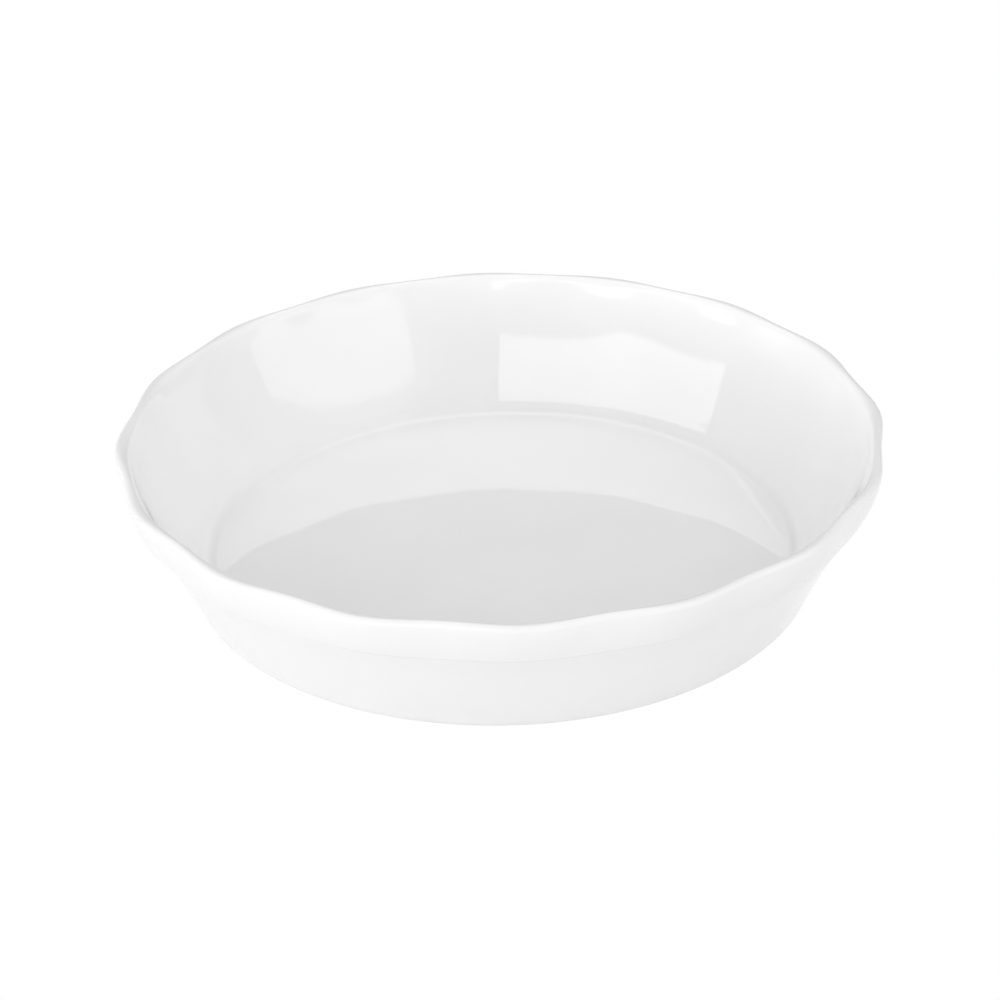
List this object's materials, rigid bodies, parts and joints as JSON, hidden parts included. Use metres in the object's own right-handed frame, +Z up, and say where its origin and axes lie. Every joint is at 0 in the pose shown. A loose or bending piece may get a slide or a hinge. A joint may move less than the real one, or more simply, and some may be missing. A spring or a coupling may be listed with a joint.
{
  "type": "pie dish",
  "caption": "Deep round pie dish of glazed white porcelain with a softly scalloped rim, a ledge round the outside and a plain round well.",
  "frame": {"origin": "middle of the plane that the foot stands on", "axes": "+Z up along the dish's axis, +X through a corner of the scalloped rim"},
  "size_m": [0.2796, 0.2796, 0.055],
  "materials": {
    "porcelain": "bare fired porcelain, fine and matte",
    "glaze": "glossy white glaze"
  },
  "bodies": {
    "root": {"porcelain_body": "porcelain", "glaze_coat": "glaze", "underside_glaze": "glaze"}
  },
  "joints": []
}
